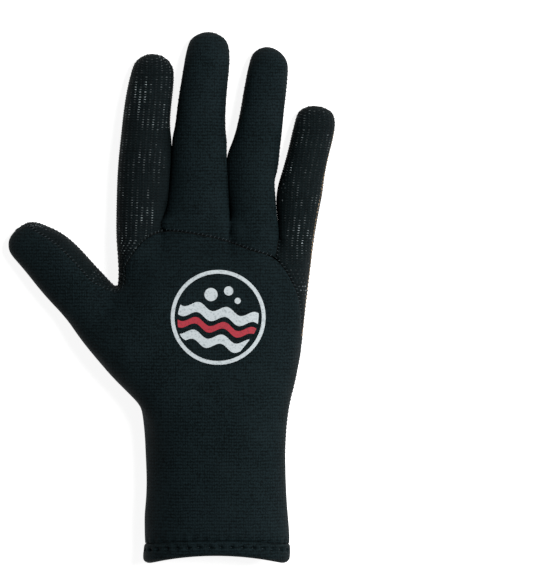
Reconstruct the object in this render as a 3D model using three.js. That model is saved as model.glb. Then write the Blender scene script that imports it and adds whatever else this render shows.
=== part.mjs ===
// A right-hand diving glove of 3 mm neoprene, lying on its palm with the cuff towards -Y.
// Four stitched pieces: palm panel, back panel, finger back panel and cuff hem.
// Millimetres, +Z up, thumb towards -X. The origin is under the middle of the glove.

import * as THREE from "three";

// Cloth and seams
const wall = 3; // thickness of the neoprene
const seamGap = 0.3; // between two panels at a seam
const fingerGap = 0.9; // between two fingers that lie side by side
const rimGap = 0.3; // between the cuff and the turned-in edge of its hem

// Cuff and hem
const cuffLength = 58.9; // hem edge to wrist
const cuffWidth = 66.5;
const cuffDepth = 36;
const hemHeight = 9;
const hemTurn = 14; // how far the turned-in edge reaches up inside the cuff
const hemTurnThickness = 2.4;
const hemProud = 0.5; // how far the hem stands out of the cuff

// Hand
const palmLength = 92.9; // wrist to the webs between the fingers
const handDepth = 35;
const restSink = 1.2; // how much of the soft underside the surface presses flat

// Fingers and thumb
const indexLength = 81.9;
const indexWidth = 23;
const indexDepth = 20.5;
const middleLength = 92;
const middleWidth = 24.8;
const middleDepth = 21;
const ringLength = 85.1;
const ringWidth = 21.6;
const ringDepth = 20.2;
const littleLength = 58;
const littleWidth = 20.9;
const littleDepth = 19.2;
const thumbLength = 58;
const thumbWidth = 27.6;
const thumbDepth = 24.5;
const thumbAngle = 43.6; // degrees from the fingers towards -X

// Share of a finger's half width and half depth that its section reaches at 45 degrees
const sectionFullness = 0.76;

// Each finger: its base's width as a share of its own width, and its sections from web to tip.
// along and aside are shares of its length, wide of its width, deep and lift of its depth.
const fingers = [
  // index finger
  {
    length: indexLength,
    width: indexWidth,
    depth: indexDepth,
    base: 0.94,
    tip: { aside: 0.07, lift: 0.36 },
    sections: [
      { along: 0.15, aside: 0.011, wide: 1.03, deep: 1.04, lift: 0.17 },
      { along: 0.26, aside: 0.021, wide: 1.075, deep: 1.02, lift: 0.19 },
      { along: 0.41, aside: 0.026, wide: 1.07, deep: 1.0, lift: 0.19 },
      { along: 0.57, aside: 0.032, wide: 1.0, deep: 0.96, lift: 0.15 },
      { along: 0.75, aside: 0.051, wide: 0.98, deep: 0.95, lift: 0.07 },
      { along: 0.888, aside: 0.073, wide: 0.9, deep: 0.86, lift: -0.02 },
      { along: 0.955, aside: 0.073, wide: 0.68, deep: 0.64, lift: 0.04 },
    ],
  },
  // middle finger
  {
    length: middleLength,
    width: middleWidth,
    depth: middleDepth,
    base: 1.25,
    tip: { aside: 0.056, lift: 0.36 },
    sections: [
      { along: 0.14, aside: 0.008, wide: 1.13, deep: 1.06, lift: 0.18 },
      { along: 0.24, aside: 0.012, wide: 1.07, deep: 1.02, lift: 0.2 },
      { along: 0.38, aside: 0.013, wide: 1.015, deep: 1.0, lift: 0.22 },
      { along: 0.55, aside: 0.017, wide: 0.963, deep: 0.96, lift: 0.18 },
      { along: 0.71, aside: 0.031, wide: 0.926, deep: 0.95, lift: 0.1 },
      { along: 0.85, aside: 0.05, wide: 0.9, deep: 0.93, lift: 0.01 },
      { along: 0.927, aside: 0.056, wide: 0.8, deep: 0.78, lift: 0.0 },
      { along: 0.969, aside: 0.056, wide: 0.6, deep: 0.58, lift: 0.07 },
    ],
  },
  // ring finger
  {
    length: ringLength,
    width: ringWidth,
    depth: ringDepth,
    base: 1.0,
    tip: { aside: 0.065, lift: 0.36 },
    sections: [
      { along: 0.14, aside: -0.009, wide: 0.985, deep: 1.05, lift: 0.18 },
      { along: 0.25, aside: -0.009, wide: 1.06, deep: 1.02, lift: 0.2 },
      { along: 0.39, aside: -0.001, wide: 1.12, deep: 1.0, lift: 0.21 },
      { along: 0.557, aside: 0.027, wide: 1.02, deep: 0.97, lift: 0.17 },
      { along: 0.708, aside: 0.051, wide: 0.98, deep: 0.96, lift: 0.09 },
      { along: 0.86, aside: 0.07, wide: 0.936, deep: 0.92, lift: 0.0 },
      { along: 0.924, aside: 0.073, wide: 0.83, deep: 0.8, lift: 0.0 },
      { along: 0.968, aside: 0.067, wide: 0.6, deep: 0.57, lift: 0.07 },
    ],
  },
  // little finger
  {
    length: littleLength,
    width: littleWidth,
    depth: littleDepth,
    base: 0.8,
    tip: { aside: 0.135, lift: 0.36 },
    sections: [
      { along: 0.17, aside: 0.019, wide: 0.94, deep: 1.08, lift: 0.15 },
      { along: 0.3, aside: 0.034, wide: 1.02, deep: 1.04, lift: 0.15 },
      { along: 0.46, aside: 0.057, wide: 1.0, deep: 1.0, lift: 0.13 },
      { along: 0.643, aside: 0.103, wide: 0.985, deep: 0.98, lift: 0.08 },
      { along: 0.8, aside: 0.137, wide: 0.978, deep: 0.94, lift: 0.0 },
      { along: 0.905, aside: 0.147, wide: 0.88, deep: 0.82, lift: -0.02 },
      { along: 0.96, aside: 0.143, wide: 0.66, deep: 0.6, lift: 0.05 },
    ],
  },
];
const thumb = {
  length: thumbLength,
  width: thumbWidth,
  depth: thumbDepth,
  tip: { aside: -0.024, lift: 0.34 },
  sections: [
    { along: 0.16, aside: 0.012, wide: 1.017, deep: 1.04, lift: 0.04 },
    { along: 0.333, aside: 0.017, wide: 1.0, deep: 1.0, lift: 0.03 },
    { along: 0.516, aside: 0.021, wide: 0.99, deep: 0.96, lift: 0.02 },
    { along: 0.7, aside: 0.018, wide: 0.92, deep: 0.9, lift: 0.0 },
    { along: 0.84, aside: -0.006, wide: 0.793, deep: 0.8, lift: -0.01 },
    { along: 0.92, aside: -0.016, wide: 0.667, deep: 0.66, lift: 0.03 },
    { along: 0.968, aside: -0.017, wide: 0.47, deep: 0.46, lift: 0.1 },
  ],
};

// Width of the hand across the four finger bases
const handWidth = fingers.reduce((sum, f) => sum + f.base * f.width, 0);

// Sections of the cuff and of the hand. at is a share of the cuff's length below the wrist, or of
// the palm's above it. left and right are shares of the width, top and bottom of the depth.
// full and under are the exponents of the rounded upper and lower section, and crease is the
// depth of the creases between the fingers.
const cuffSections = [
  { at: -1, left: -0.498, right: 0.502, top: 1, bottom: 0, full: 2.3, under: 2.7, crease: 0 },
  { at: -0.85, left: -0.49, right: 0.508, top: 1, bottom: 0, full: 2.3, under: 2.7, crease: 0 },
  { at: -0.61, left: -0.493, right: 0.496, top: 1, bottom: 0, full: 2.3, under: 2.7, crease: 0 },
  { at: -0.34, left: -0.474, right: 0.481, top: 1, bottom: 0, full: 2.3, under: 2.7, crease: 0 },
  { at: -0.1, left: -0.471, right: 0.481, top: 1.01, bottom: 0, full: 2.4, under: 2.7, crease: 0 },
];
const handSections = [
  { at: 0.06, left: -0.355, right: 0.36, top: 1.05, bottom: 0, full: 2.4, under: 2.7, crease: 0 },
  { at: 0.183, left: -0.425, right: 0.383, top: 1.05, bottom: 0, full: 2.6, under: 2.8, crease: 0 },
  { at: 0.297, left: -0.519, right: 0.412, top: 1.03, bottom: 0, full: 2.8, under: 3, crease: 0 },
  { at: 0.406, left: -0.632, right: 0.429, top: 1, bottom: 0, full: 3.2, under: 3.2, crease: 0 },
  { at: 0.574, left: -0.606, right: 0.453, top: 0.97, bottom: 0, full: 3.4, under: 3.4, crease: 0 },
  { at: 0.733, left: -0.493, right: 0.467, top: 0.94, bottom: 0.03, full: 3, under: 3.4, crease: 0.005 },
  { at: 0.871, left: -0.498, right: 0.482, top: 0.865, bottom: 0.065, full: 3.1, under: 3.6, crease: 0.03 },
  { at: 1, left: -0.503, right: 0.503, top: 0.77, bottom: 0.1, full: 3.8, under: 4.2, crease: 0.09 },
];
const sideHeight = 0.46; // height of the widest line, as a share of the section's height

// The rows of the surface from hem edge to webs. arch and drop say how far a row follows the
// knuckle seam: the arch over the knuckles, and the drop towards the little finger's side.
// curve says how far it follows the curve of the hem's edge.
const rows = [
  { at: -1, curve: 1, arch: 0, drop: 0 }, // hem edge
  { at: -1, above: hemHeight, curve: 0.5, arch: 0, drop: 0 }, // hem top
  { at: -0.62, arch: 0, drop: 0 }, // cuff
  { at: -0.39, arch: 0, drop: 0 }, // lower wrist
  { at: -0.17, arch: 0, drop: 0.02 }, // wrist seam
  { at: 0.183, arch: 0, drop: 0.28 }, // palm heel
  { at: 0.406, arch: 0, drop: 0.52 }, // thumb root
  { at: 0.585, arch: 0.3, drop: 0.74 }, // thumb middle
  { at: 0.752, arch: 0.6, drop: 0.9 }, // thumb web
  { at: 0.871, arch: 1, drop: 1 }, // knuckle seam
  { at: 1, arch: 0.45, drop: 0.3 }, // finger webs
];
const wristRow = 4;
const thumbRow = 6;
const webRow = 8;
const seamRow = 9;
const endRow = 10;

// The columns round a row: across is the share of the half width at the cuff and at the webs,
// arch and drop the knuckle seam's offset and wrist the wrist seam's, as shares of palmLength.
const columns = [
  { side: "left", cuff: -1, hand: -1, arch: -0.05, drop: 0, wrist: 0.2 },
  { side: "top", cuff: -0.951, hand: -0.939, arch: -0.05, drop: 0, wrist: 0.13 },
  { side: "top", cuff: -0.809, hand: -0.758, arch: 0.064, drop: 0, wrist: 0.06 },
  { side: "top", cuff: -0.588, hand: -0.515, arch: 0.131, drop: 0, wrist: 0.02 },
  { side: "top", cuff: -0.309, hand: -0.184, arch: 0.114, drop: 0, wrist: 0 },
  { side: "top", cuff: 0, hand: 0.157, arch: 0.079, drop: 0, wrist: 0 },
  { side: "top", cuff: 0.309, hand: 0.394, arch: 0.032, drop: 0, wrist: 0 },
  { side: "top", cuff: 0.588, hand: 0.64, arch: -0.005, drop: 0, wrist: 0 },
  { side: "top", cuff: 0.809, hand: 0.825, arch: 0, drop: -0.12, wrist: 0 },
  { side: "top", cuff: 0.951, hand: 0.949, arch: 0, drop: -0.257, wrist: 0 },
  { side: "right", cuff: 1, hand: 1, arch: 0, drop: -0.425, wrist: 0 },
  { side: "under", cuff: 0.951, hand: 0.949, arch: 0, drop: -0.26, wrist: 0 },
  { side: "under", cuff: 0.809, hand: 0.825, arch: 0, drop: -0.1, wrist: 0 },
  { side: "under", cuff: 0.588, hand: 0.64, arch: 0, drop: -0.02, wrist: 0 },
  { side: "under", cuff: 0.309, hand: 0.394, arch: 0, drop: 0, wrist: 0 },
  { side: "under", cuff: 0, hand: 0.157, arch: 0, drop: 0, wrist: 0 },
  { side: "under", cuff: -0.309, hand: -0.184, arch: 0, drop: 0, wrist: 0.015 },
  { side: "under", cuff: -0.588, hand: -0.515, arch: 0, drop: 0, wrist: 0.045 },
  { side: "under", cuff: -0.809, hand: -0.758, arch: 0, drop: 0, wrist: 0.1 },
  { side: "under", cuff: -0.951, hand: -0.939, arch: 0, drop: 0, wrist: 0.165 },
];
const leftColumn = 0;
const topColumn = 1; // the first of nine on the back of the hand
const rightColumn = 10;
const underColumn = 19; // the first of nine on the palm, counted down from here
const creaseSteps = [2, 4, 6]; // top and under columns that run into a web
const webRound = 0.08; // how far a web curves forward in its depth, as a share of handDepth

// The hem's edge curves inwards between its two sides, as a share of the cuff's width
const hemArch = 0.06;

// Soft folds pressed into the surface: column, row and depth as a share of handDepth
const folds = [
  { column: 2, row: 7, depth: 0.05 },
  { column: 2, row: 8, depth: 0.05 },
  { column: 1, row: 8, depth: 0.03 },
];

const palmPanel = "palm_panel";
const backPanel = "back_panel";
const fingerPanel = "finger_back_panel";
const hemPanel = "cuff_hem";

const mix = (a, b, t) => a + (b - a) * t;
const alongBody = (at) => at * (at < 0 ? cuffLength : palmLength);

const body = [
  ...cuffSections.map((row) => ({ ...row, width: cuffWidth, depth: cuffDepth })),
  ...handSections.map((row) => ({ ...row, width: handWidth, depth: handDepth })),
];

// A body value at a place along the glove: a smooth curve through the sections
function profile(pick) {
  const places = body.map((row) => alongBody(row.at));
  const values = body.map(pick);
  return (y) => {
    const last = places.length - 1;
    let i = 0;
    while (i < last - 1 && y > places[i + 1]) i += 1;
    const span = places[i + 1] - places[i];
    const t = Math.min(1, Math.max(0, (y - places[i]) / span));
    const slope = (k) => {
      const a = Math.max(0, k - 1);
      const b = Math.min(last, k + 1);
      return ((values[b] - values[a]) / (places[b] - places[a])) * span;
    };
    const t2 = t * t;
    const t3 = t2 * t;
    return (
      (2 * t3 - 3 * t2 + 1) * values[i] +
      (t3 - 2 * t2 + t) * slope(i) +
      (3 * t2 - 2 * t3) * values[i + 1] +
      (t3 - t2) * slope(i + 1)
    );
  };
}

const bodyLeft = profile((row) => row.left * row.width);
const bodyRight = profile((row) => row.right * row.width);
const bodyTop = profile((row) => row.top * row.depth);
const bodyBottom = profile((row) => row.bottom * row.depth - restSink);
const bodyFull = profile((row) => row.full);
const bodyUnder = profile((row) => row.under);
const bodyCrease = profile((row) => row.crease * handDepth);

// The place on the hand or cuff where a row of the surface meets a column
function bodyPoint(rowIndex, columnIndex) {
  const row = rows[rowIndex];
  const column = columns[columnIndex];
  let y = alongBody(row.at) + (row.above ?? 0);
  y += (row.arch * column.arch + row.drop * column.drop) * palmLength;
  if (rowIndex === wristRow) y += column.wrist * palmLength;
  const toHand = Math.min(1, Math.max(0, row.at));
  const across = mix(column.cuff, column.hand, toHand);
  const left = bodyLeft(y);
  const right = bodyRight(y);
  const x = (left + right) / 2 + ((right - left) / 2) * across;
  const top = bodyTop(y);
  const bottom = bodyBottom(y);
  const middle = mix(bottom, top, sideHeight);
  const round = (full) => Math.pow(1 - Math.pow(Math.abs(across), full), 1 / full);
  y += (row.curve ?? 0) * hemArch * cuffWidth * (1 - across * across);
  let z = middle;
  if (column.side === "top") {
    z = middle + (top - middle) * round(bodyFull(y));
    if (creaseSteps.includes(columnIndex - topColumn)) z -= bodyCrease(y);
  }
  if (column.side === "under") {
    z = middle - (middle - bottom) * round(bodyUnder(y));
    if (creaseSteps.includes(underColumn - columnIndex)) z += bodyCrease(y);
  }
  for (const fold of folds) {
    if (fold.row === rowIndex && fold.column === columnIndex) z -= fold.depth * handDepth;
  }
  return new THREE.Vector3(x, y, z);
}

// The coarse quad surface that the smooth glove is worked out from
const points = [];
const quads = [];
const addPoint = (p) => points.push(p) - 1;
const addQuad = (corners, panel) => quads.push({ corners, panel });

// The hand and cuff: a grid of rows and columns, open at the cuff and where the thumb grows out
const grid = rows.map((row, i) => columns.map((column, j) => addPoint(bodyPoint(i, j))));
const columnCount = columns.length;
const besideThumb = (j) => j === leftColumn || j === underColumn;

function bodyPanel(i, j) {
  const onTop = j >= topColumn && j < rightColumn;
  const topStep = j - topColumn;
  if (i === 0) return hemPanel;
  if (i < wristRow) return backPanel;
  if (j >= rightColumn && j < underColumn) return palmPanel;
  if (i < webRow) return backPanel;
  if (!onTop) return palmPanel;
  if (i < seamRow) return backPanel;
  return topStep >= creaseSteps[0] && topStep < creaseSteps[2] ? fingerPanel : palmPanel;
}

for (let i = 0; i < endRow; i += 1) {
  for (let j = 0; j < columnCount; j += 1) {
    if (i >= thumbRow && i < webRow && besideThumb(j)) continue;
    const k = (j + 1) % columnCount;
    addQuad([grid[i][j], grid[i][k], grid[i + 1][k], grid[i + 1][j]], bodyPanel(i, j));
  }
}

// Directions of the eight points round a finger's section, from its left over its top
const sectionTurns = [
  [-1, 0],
  [-sectionFullness, sectionFullness],
  [0, 1],
  [sectionFullness, sectionFullness],
  [1, 0],
  [sectionFullness, -sectionFullness],
  [0, -1],
  [-sectionFullness, -sectionFullness],
];

// A finger's tube from the ring of points it grows out of to its closed tip. seamStart is the
// point of the ring where its side seam starts, because the seam runs on over the tip.
function addFinger(finger, baseRing, origin, angle, seamStart, panelOf) {
  const ahead = new THREE.Vector3(-Math.sin(angle), Math.cos(angle), 0);
  const side = new THREE.Vector3(Math.cos(angle), Math.sin(angle), 0);
  const place = (along, aside, height) =>
    origin
      .clone()
      .addScaledVector(ahead, along)
      .addScaledVector(side, aside)
      .setZ(height - restSink);
  let ring = baseRing;
  for (const section of finger.sections) {
    const halfWidth = (section.wide * finger.width - fingerGap) / 2;
    const halfDepth = (section.deep * finger.depth) / 2;
    const middle = section.lift * finger.depth + halfDepth;
    const next = sectionTurns.map(([across, up]) =>
      addPoint(
        place(
          section.along * finger.length,
          section.aside * finger.length + across * halfWidth,
          middle + up * halfDepth,
        ),
      ),
    );
    next.forEach((point, k) => {
      const m = (k + 1) % next.length;
      addQuad([ring[k], ring[m], next[m], point], panelOf(k));
    });
    ring = next;
  }
  const tip = addPoint(
    place(finger.length, finger.tip.aside * finger.length, finger.tip.lift * finger.depth),
  );
  for (let step = 0; step < ring.length; step += 2) {
    const k = (seamStart + step) % ring.length;
    const m = (k + 1) % ring.length;
    const n = (k + 2) % ring.length;
    addQuad([ring[k], ring[m], ring[n], tip], panelOf(k));
  }
}

// The three points in the depth of the webs, then the four fingers
const end = grid[endRow];
const webs = creaseSteps.map((step) => {
  const top = points[end[topColumn + step]];
  const under = points[end[underColumn - step]];
  const middle = top.clone().lerp(under, 0.5);
  middle.y += webRound * handDepth;
  return addPoint(middle);
});
const splitAtSides = (k) => (k < 4 ? fingerPanel : palmPanel);
const wholeGrip = () => palmPanel;
let reach = bodyLeft(palmLength);
fingers.forEach((finger, n) => {
  const step = n * 2;
  const last = n === fingers.length - 1;
  const ring = [
    n === 0 ? end[leftColumn] : webs[n - 1],
    end[topColumn + step],
    end[topColumn + step + 1],
    end[topColumn + step + 2],
    last ? end[rightColumn] : webs[n],
    end[underColumn - step - 2],
    end[underColumn - step - 1],
    end[underColumn - step],
  ];
  const base = finger.base * finger.width;
  const origin = new THREE.Vector3(reach + base / 2, palmLength, 0);
  const inner = n > 0 && !last;
  addFinger(finger, ring, origin, 0, 0, inner ? splitAtSides : wholeGrip);
  reach += base;
});

// The thumb grows out of the side of the hand. Its seams run from the web over its inner side
// and from the wrist under its outer side.
const root = points[grid[thumbRow][leftColumn]];
const web = points[grid[webRow][leftColumn]];
const thumbRing = [
  grid[thumbRow][leftColumn],
  grid[thumbRow][topColumn],
  grid[thumbRow + 1][topColumn],
  grid[webRow][topColumn],
  grid[webRow][leftColumn],
  grid[webRow][underColumn],
  grid[thumbRow + 1][underColumn],
  grid[thumbRow][underColumn],
];
const thumbSeam = 3;
addFinger(
  thumb,
  thumbRing,
  root.clone().lerp(web, 0.5),
  THREE.MathUtils.degToRad(thumbAngle),
  thumbSeam,
  (k) => (k >= thumbSeam && k < thumbSeam + 4 ? palmPanel : backPanel),
);

// Points next to each point of a quad surface: across its edges, across its quads, and along
// an open edge
function aroundPoints(count, faces) {
  const around = Array.from({ length: count }, () => ({
    edges: new Set(),
    diagonals: [],
    open: [],
  }));
  const sides = new Map();
  for (const { corners } of faces) {
    corners.forEach((a, k) => {
      const b = corners[(k + 1) % 4];
      around[a].edges.add(b);
      around[b].edges.add(a);
      around[a].diagonals.push(corners[(k + 2) % 4]);
      const key = a < b ? `${a} ${b}` : `${b} ${a}`;
      sides.set(key, (sides.get(key) ?? 0) + 1);
    });
  }
  for (const [key, used] of sides) {
    if (used === 2) continue;
    const [a, b] = key.split(" ").map(Number);
    around[a].open.push(b);
    around[b].open.push(a);
  }
  return around;
}

// Where each point of a quad surface comes to lie on its smooth Catmull-Clark surface
function smoothPoints(positions, around) {
  return positions.map((p, i) => {
    const { edges, diagonals, open } = around[i];
    const sum = p.clone();
    if (open.length) {
      sum.multiplyScalar(4);
      for (const k of open) sum.add(positions[k]);
      return sum.divideScalar(6);
    }
    const n = edges.size;
    sum.multiplyScalar(n * n);
    for (const k of edges) sum.addScaledVector(positions[k], 4);
    for (const k of diagonals) sum.add(positions[k]);
    return sum.divideScalar(n * (n + 5));
  });
}

// One Catmull-Clark step, with the point made on each edge and quad kept by name
function subdivide(positions, faces) {
  const around = aroundPoints(positions.length, faces);
  const made = positions.map((p) => p.clone());
  const middleOf = (list) => {
    const sum = new THREE.Vector3();
    for (const k of list) sum.add(made[k]);
    return sum.divideScalar(list.length);
  };
  const facePoints = faces.map(({ corners }) => made.push(middleOf(corners)) - 1);
  const edgeFaces = new Map();
  const edgeKey = (a, b) => (a < b ? `${a} ${b}` : `${b} ${a}`);
  faces.forEach(({ corners }, f) => {
    corners.forEach((a, k) => {
      const key = edgeKey(a, corners[(k + 1) % 4]);
      if (!edgeFaces.has(key)) edgeFaces.set(key, []);
      edgeFaces.get(key).push(facePoints[f]);
    });
  });
  const edgePoints = new Map();
  for (const [key, sides] of edgeFaces) {
    const ends = key.split(" ").map(Number);
    const near = sides.length === 2 ? [...ends, ...sides] : ends;
    edgePoints.set(key, made.push(middleOf(near)) - 1);
  }
  const edgePoint = (a, b) => edgePoints.get(edgeKey(a, b));
  positions.forEach((p, i) => {
    const { edges, open } = around[i];
    if (open.length) {
      made[i] = p.clone().multiplyScalar(6);
      for (const k of open) made[i].add(positions[k]);
      made[i].divideScalar(8);
      return;
    }
    const n = edges.size;
    const sum = p.clone().multiplyScalar(n * (n - 2));
    for (const k of edges) sum.add(positions[k]);
    const near = new Set();
    for (const k of edges) {
      for (const f of edgeFaces.get(edgeKey(i, k))) near.add(f);
    }
    for (const f of near) sum.add(made[f]);
    made[i] = sum.divideScalar(n * n);
  });
  const fine = faces.flatMap(({ corners, panel }, f) =>
    corners.map((corner, k) => ({
      corners: [
        corner,
        edgePoint(corner, corners[(k + 1) % 4]),
        facePoints[f],
        edgePoint(corners[(k + 3) % 4], corner),
      ],
      panel,
    })),
  );
  return { positions: made, faces: fine, facePoints, edgePoint };
}

// The coarse points are moved until the smooth surface runs through the sections above
const fitPasses = 12;
const targets = points.map((p) => p.clone());
const coarseAround = aroundPoints(points.length, quads);
for (let pass = 0; pass < fitPasses; pass += 1) {
  const now = smoothPoints(points, coarseAround);
  points.forEach((p, i) => p.add(targets[i]).sub(now[i]));
}
const fine = subdivide(points, quads);
const outer = smoothPoints(fine.positions, aroundPoints(fine.positions.length, fine.faces));

// The surface that the glove lies on presses its underside flat
for (const p of outer) p.z = Math.max(0, p.z);

// Outward directions of the surface at its points
const normals = outer.map(() => new THREE.Vector3());
for (const { corners } of fine.faces) {
  const [a, b, c, d] = corners.map((k) => outer[k]);
  const face = c.clone().sub(a).cross(d.clone().sub(b));
  for (const k of corners) normals[k].add(face);
}
for (const n of normals) n.normalize();

// The wall follows these directions evened out, so that it doesn't fold at sharp bends
const evenPasses = 3;
const fineAround = aroundPoints(outer.length, fine.faces);
for (let pass = 0; pass < evenPasses; pass += 1) {
  const before = normals.map((n) => n.clone());
  normals.forEach((n, i) => {
    const { edges } = fineAround[i];
    for (const k of edges) n.addScaledVector(before[k], 1 / edges.size);
    n.normalize();
  });
}

// A mesh from points and triangles, in one of the glove's cloths
function cloth(name, colour, roughness, positions, triangles) {
  const geometry = new THREE.BufferGeometry();
  const flat = positions.flatMap((p) => [p.x, p.y, p.z]);
  geometry.setAttribute("position", new THREE.Float32BufferAttribute(flat, 3));
  geometry.setIndex(triangles.flat());
  geometry.computeVertexNormals();
  const material = new THREE.MeshStandardMaterial({ color: colour, roughness, metalness: 0 });
  const mesh = new THREE.Mesh(geometry, material);
  mesh.name = name;
  return mesh;
}

// Two triangles for a quad, split along its shorter diagonal
function splitQuad([a, b, c, d], positions) {
  const straight = positions[a].distanceTo(positions[c]) <= positions[b].distanceTo(positions[d]);
  if (straight) return [[a, b, c], [a, c, d]];
  return [[a, b, d], [b, c, d]];
}

// How far each border point of a panel is drawn back from the seam, to leave half of its gap
function drawnBack(faces) {
  const border = new Map();
  for (const { corners } of faces) {
    corners.forEach((a, k) => {
      const b = corners[(k + 1) % 4];
      if (border.has(`${b} ${a}`)) border.delete(`${b} ${a}`);
      else border.set(`${a} ${b}`, [a, b]);
    });
  }
  const inward = new Map();
  for (const [a, b] of border.values()) {
    const along = outer[b].clone().sub(outer[a]);
    for (const k of [a, b]) {
      const into = normals[k].clone().cross(along).normalize();
      if (!inward.has(k)) inward.set(k, []);
      inward.get(k).push(into);
    }
  }
  const moves = new Map();
  for (const [k, [first, second]] of inward) {
    const both = first.clone().add(second);
    moves.set(k, both.multiplyScalar(seamGap / 2 / (1 + first.dot(second))));
  }
  return { border: [...border.values()], moves };
}

// One panel: its outer skin, its inner skin a wall further in, and the cut edge between them
function panel(name, colour, roughness) {
  const faces = fine.faces.filter((face) => face.panel === name);
  const { border, moves } = drawnBack(faces);
  const used = [...new Set(faces.flatMap((face) => face.corners))];
  const indexOf = new Map(used.map((k, i) => [k, i]));
  const moved = (k) => outer[k].clone().add(moves.get(k) ?? new THREE.Vector3());
  const outside = used.map(moved);
  const inside = used.map((k) => moved(k).addScaledVector(normals[k], -wall));
  const positions = [...outside, ...inside];
  const triangles = [];
  for (const { corners } of faces) {
    const quad = corners.map((k) => indexOf.get(k));
    for (const [a, b, c] of splitQuad(quad, positions)) {
      triangles.push([a, b, c]);
      triangles.push([a + used.length, c + used.length, b + used.length]);
    }
  }
  for (const [from, to] of border) {
    const a = indexOf.get(from);
    const b = indexOf.get(to);
    const a2 = a + used.length;
    const b2 = b + used.length;
    if (from < to) triangles.push([b, a, a2], [b, a2, b2]);
    else triangles.push([b, a, b2], [a, a2, b2]);
  }
  return cloth(name, colour, roughness, positions, triangles);
}

// A closed line of fine points round the cuff, on a row or halfway to the next one
function loopAt(i, halfway) {
  return grid[i].flatMap((corner, j) => {
    if (halfway) return [fine.edgePoint(corner, grid[i + 1][j]), fine.facePoints[i * columnCount + j]];
    return [corner, fine.edgePoint(corner, grid[i][(j + 1) % columnCount])];
  });
}

// The hem: the cuff's edge folded in on itself, so that its section is a hook. It is a ring
// of sections, each a closed line of places: up the glove from its edge, and out of its face.
function hem(colour, roughness) {
  const edge = loopAt(0, false);
  const top = loopAt(1, false);
  const above = loopAt(1, true);
  const thick = wall + rimGap + hemTurnThickness;
  const foldReach = hemTurnThickness;
  const foldSteps = 6;
  const bulge = 0.7; // how far up the hem it stands out in full, as a share of its height
  const places = [
    { share: 1, up: -seamGap / 2, out: hemProud / 2 },
    { share: bulge, up: 0, out: hemProud },
  ];
  for (let step = 0; step <= foldSteps; step += 1) {
    const turn = (Math.PI * step) / foldSteps;
    const half = (thick + hemProud) / 2;
    places.push({
      share: 0,
      up: foldReach * (1 - Math.sin(turn)),
      out: hemProud - half + half * Math.cos(turn),
    });
  }
  places.push({ share: 1, up: 0, out: -thick });
  places.push({ share: 1, up: hemTurn - hemHeight, out: -thick });
  places.push({ share: 1, up: hemTurn - hemHeight, out: -wall - rimGap });
  places.push({ share: 1, up: -seamGap / 2, out: -wall - rimGap });
  const positions = edge.flatMap((lowest, n) => {
    const low = outer[lowest];
    const high = outer[top[n]];
    const facing = normals[top[n]];
    return places.map(({ share, up, out }) => {
      const pastTop = share === 1 && up > 0;
      const ahead = pastTop ? outer[above[n]].clone().sub(high) : high.clone().sub(low);
      const start = low.clone().lerp(high, share);
      return start.addScaledVector(ahead.normalize(), up).addScaledVector(facing, out);
    });
  });
  for (const p of positions) p.z = Math.max(0, p.z);
  const count = places.length;
  const triangles = [];
  edge.forEach((_, n) => {
    const here = n * count;
    const next = ((n + 1) % edge.length) * count;
    places.forEach((_, k) => {
      const m = (k + 1) % count;
      triangles.push([here + k, here + m, next + k]);
      triangles.push([next + k, here + m, next + m]);
    });
  });
  return cloth(hemPanel, colour, roughness, positions, triangles);
}

const knitBlack = 0x141c1e;
const gripBlack = 0x1a2325;
const knitRoughness = 0.85;
const gripRoughness = 0.75;

const glove = new THREE.Group();
glove.add(panel(palmPanel, gripBlack, gripRoughness));
glove.add(panel(backPanel, knitBlack, knitRoughness));
glove.add(panel(fingerPanel, knitBlack, knitRoughness));
glove.add(hem(knitBlack, knitRoughness));

// The glove is moved so that the origin lies under the middle of its outline
const box = new THREE.Box3().setFromObject(glove, true);
const middle = box.getCenter(new THREE.Vector3());
glove.position.set(-middle.x, -middle.y, 0);

export default glove;
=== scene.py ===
import math

import bmesh
import bpy
import numpy as np
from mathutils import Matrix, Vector, noise
from mathutils.bvhtree import BVHTree
from mathutils.kdtree import KDTree


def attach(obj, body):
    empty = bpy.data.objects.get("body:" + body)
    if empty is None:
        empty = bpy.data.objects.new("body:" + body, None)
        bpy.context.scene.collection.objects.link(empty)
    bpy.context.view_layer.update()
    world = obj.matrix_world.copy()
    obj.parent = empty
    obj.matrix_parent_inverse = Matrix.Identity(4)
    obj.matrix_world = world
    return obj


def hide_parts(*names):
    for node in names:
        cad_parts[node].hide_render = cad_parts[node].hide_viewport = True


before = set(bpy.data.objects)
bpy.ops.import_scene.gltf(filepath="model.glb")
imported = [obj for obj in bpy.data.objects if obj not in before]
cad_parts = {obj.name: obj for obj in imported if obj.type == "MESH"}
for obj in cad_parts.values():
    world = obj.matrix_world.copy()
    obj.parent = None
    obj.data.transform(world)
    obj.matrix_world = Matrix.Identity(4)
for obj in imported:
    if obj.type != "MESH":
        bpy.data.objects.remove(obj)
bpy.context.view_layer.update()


# Back panel
# The smooth piece that makes the cuff, the back of the hand and the back of the thumb.
# It is 3 mm neoprene foam with black nylon jersey on both faces, cut out flat, then glued edge
# to edge with its neighbours and blind-stitched, so that each seam is a shallow groove.

mm = 0.001
outer_face, cut_edge, lining = 0, 1, 2  # material slots of every panel
wall = 3.0 * mm
edge_crease = 0.42  # leaves a few tenths of a millimetre of rounding on a cut edge
hem_crease = 0.95  # the hem is glued on flush, so that the joint hardly shows
hem_line = -104 * mm
corner_turn = math.radians(40)  # a panel's outline keeps its corners where it turns more
panel_levels = 2


def linear(hex_colour):
    parts = [int(hex_colour[i:i + 2], 16) / 255 for i in (1, 3, 5)]
    return tuple(p / 12.92 if p <= 0.04045 else ((p + 0.055) / 1.055) ** 2.4 for p in parts) + (1.0,)


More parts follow.
